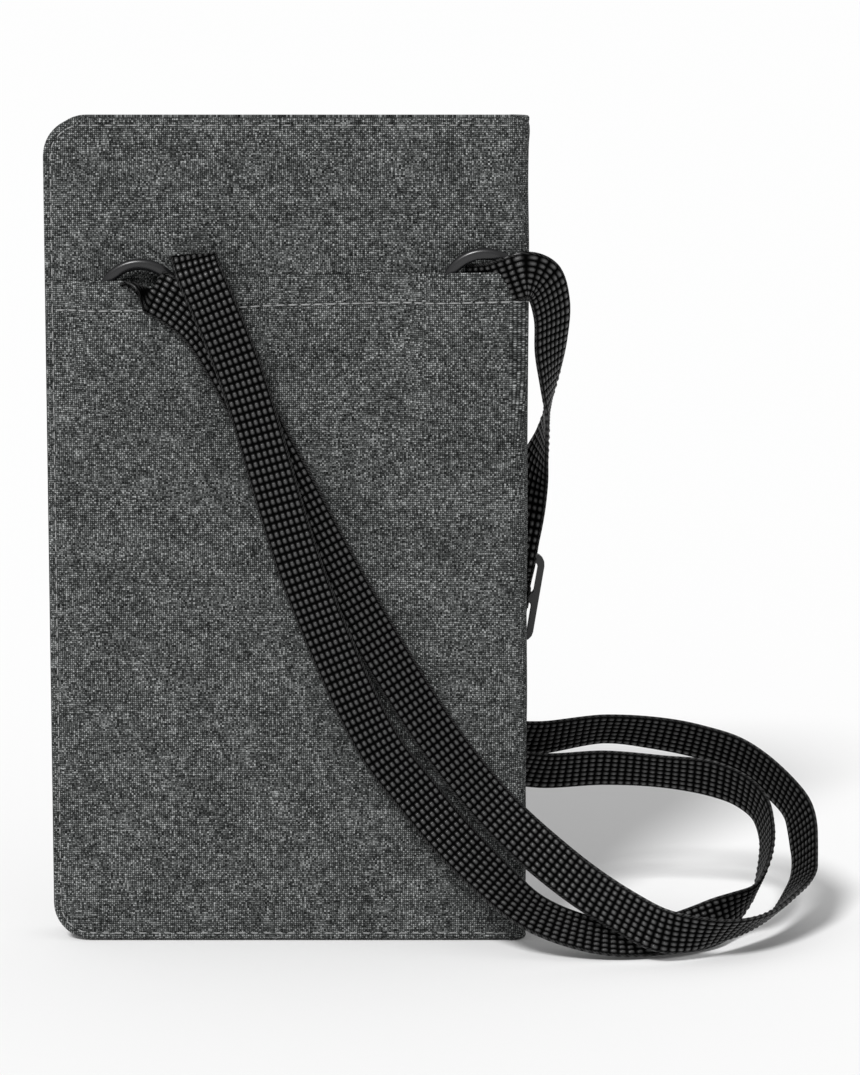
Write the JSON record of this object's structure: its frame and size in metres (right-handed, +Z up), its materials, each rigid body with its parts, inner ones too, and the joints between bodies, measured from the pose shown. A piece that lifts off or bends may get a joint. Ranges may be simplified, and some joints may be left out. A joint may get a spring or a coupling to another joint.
{
  "type": "neck pouch wallet",
  "caption": "Flat upright cloth pouch with a zipped top, a zipped rear pocket, an open slip pocket and an adjustable webbing neck strap held by rings.",
  "frame": {"origin": "under the middle of the pouch, on the surface that it stands on", "axes": "+X along the pouch's width towards the side where the strap stands, +Y from the strap side to the zip side, +Z up the pouch"},
  "size_m": [0.2037, 0.0737, 0.217],
  "materials": {
    "melange_cloth": "matte heathered weave",
    "black_webbing": "ribbed woven webbing",
    "lining_cloth": "matte plain weave",
    "closed_cell_foam": "matte foam",
    "shield_foil": "satin foil laminate",
    "black_plastic": "satin moulded plastic",
    "zip_tape": "matte knitted tape",
    "zip_coil": "satin nylon coil",
    "dark_nickel": "dark polished plating"
  },
  "bodies": {
    "pouch": {"outer_shell": "melange_cloth", "gusset_band": "melange_cloth", "slip_pocket": "melange_cloth", "strap_side_foam": "closed_cell_foam", "strap_side_shield": "shield_foil", "strap_side_lining": "lining_cloth", "card_panel_upper": "lining_cloth", "card_panel_middle": "lining_cloth", "card_panel_lower": "lining_cloth", "passport_sleeve": "lining_cloth", "zip_side_lining": "lining_cloth", "zip_side_shield": "shield_foil", "zip_side_foam": "closed_cell_foam", "front_pocket_lining": "lining_cloth", "top_zip_tape_near": "zip_tape", "top_zip_tape_far": "zip_tape", "top_zip_coil": "zip_coil", "top_zip_stop_start": "dark_nickel", "top_zip_stop_end": "dark_nickel", "top_zip_tab_left": "melange_cloth", "top_zip_tab_right": "melange_cloth", "pocket_zip_tape_near": "zip_tape", "pocket_zip_tape_far": "zip_tape", "pocket_zip_coil": "zip_coil", "pocket_zip_stop_start": "dark_nickel", "pocket_zip_stop_end": "dark_nickel", "left_strap_ring": "black_plastic", "right_strap_ring": "black_plastic", "left_ring_tab": "black_webbing", "right_ring_tab": "black_webbing", "strap_glide": "black_plastic", "strap_ring_run": "black_webbing", "strap_outer_run": "black_webbing", "strap_return_run": "black_webbing"},
    "top_slider": {"top_zip_slider": "dark_nickel"},
    "top_pull": {"top_zip_pull": "dark_nickel"},
    "pocket_slider": {"pocket_zip_slider": "dark_nickel"},
    "pocket_pull": {"pocket_zip_pull": "dark_nickel"}
  },
  "joints": [
    {"name": "top_zip_slide", "type": "slide", "parent": "pouch", "child": "top_slider", "axis": [1, 0, 0], "range_m": [0, 0.09]},
    {"name": "top_pull_hinge", "type": "hinge", "parent": "top_slider", "child": "top_pull", "pos_m": [-0.046, 0.00105, 0.2142], "axis": [0, -1, 0], "range_deg": [0, 145]},
    {"name": "pocket_zip_slide", "type": "slide", "parent": "pouch", "child": "pocket_slider", "axis": [-1, 0, 0], "range_m": [0, 0.084]},
    {"name": "pocket_pull_hinge", "type": "hinge", "parent": "pocket_slider", "child": "pocket_pull", "pos_m": [0.042, 0.01185, 0.171], "axis": [0, 0, -1], "range_deg": [0, 160]}
  ]
}
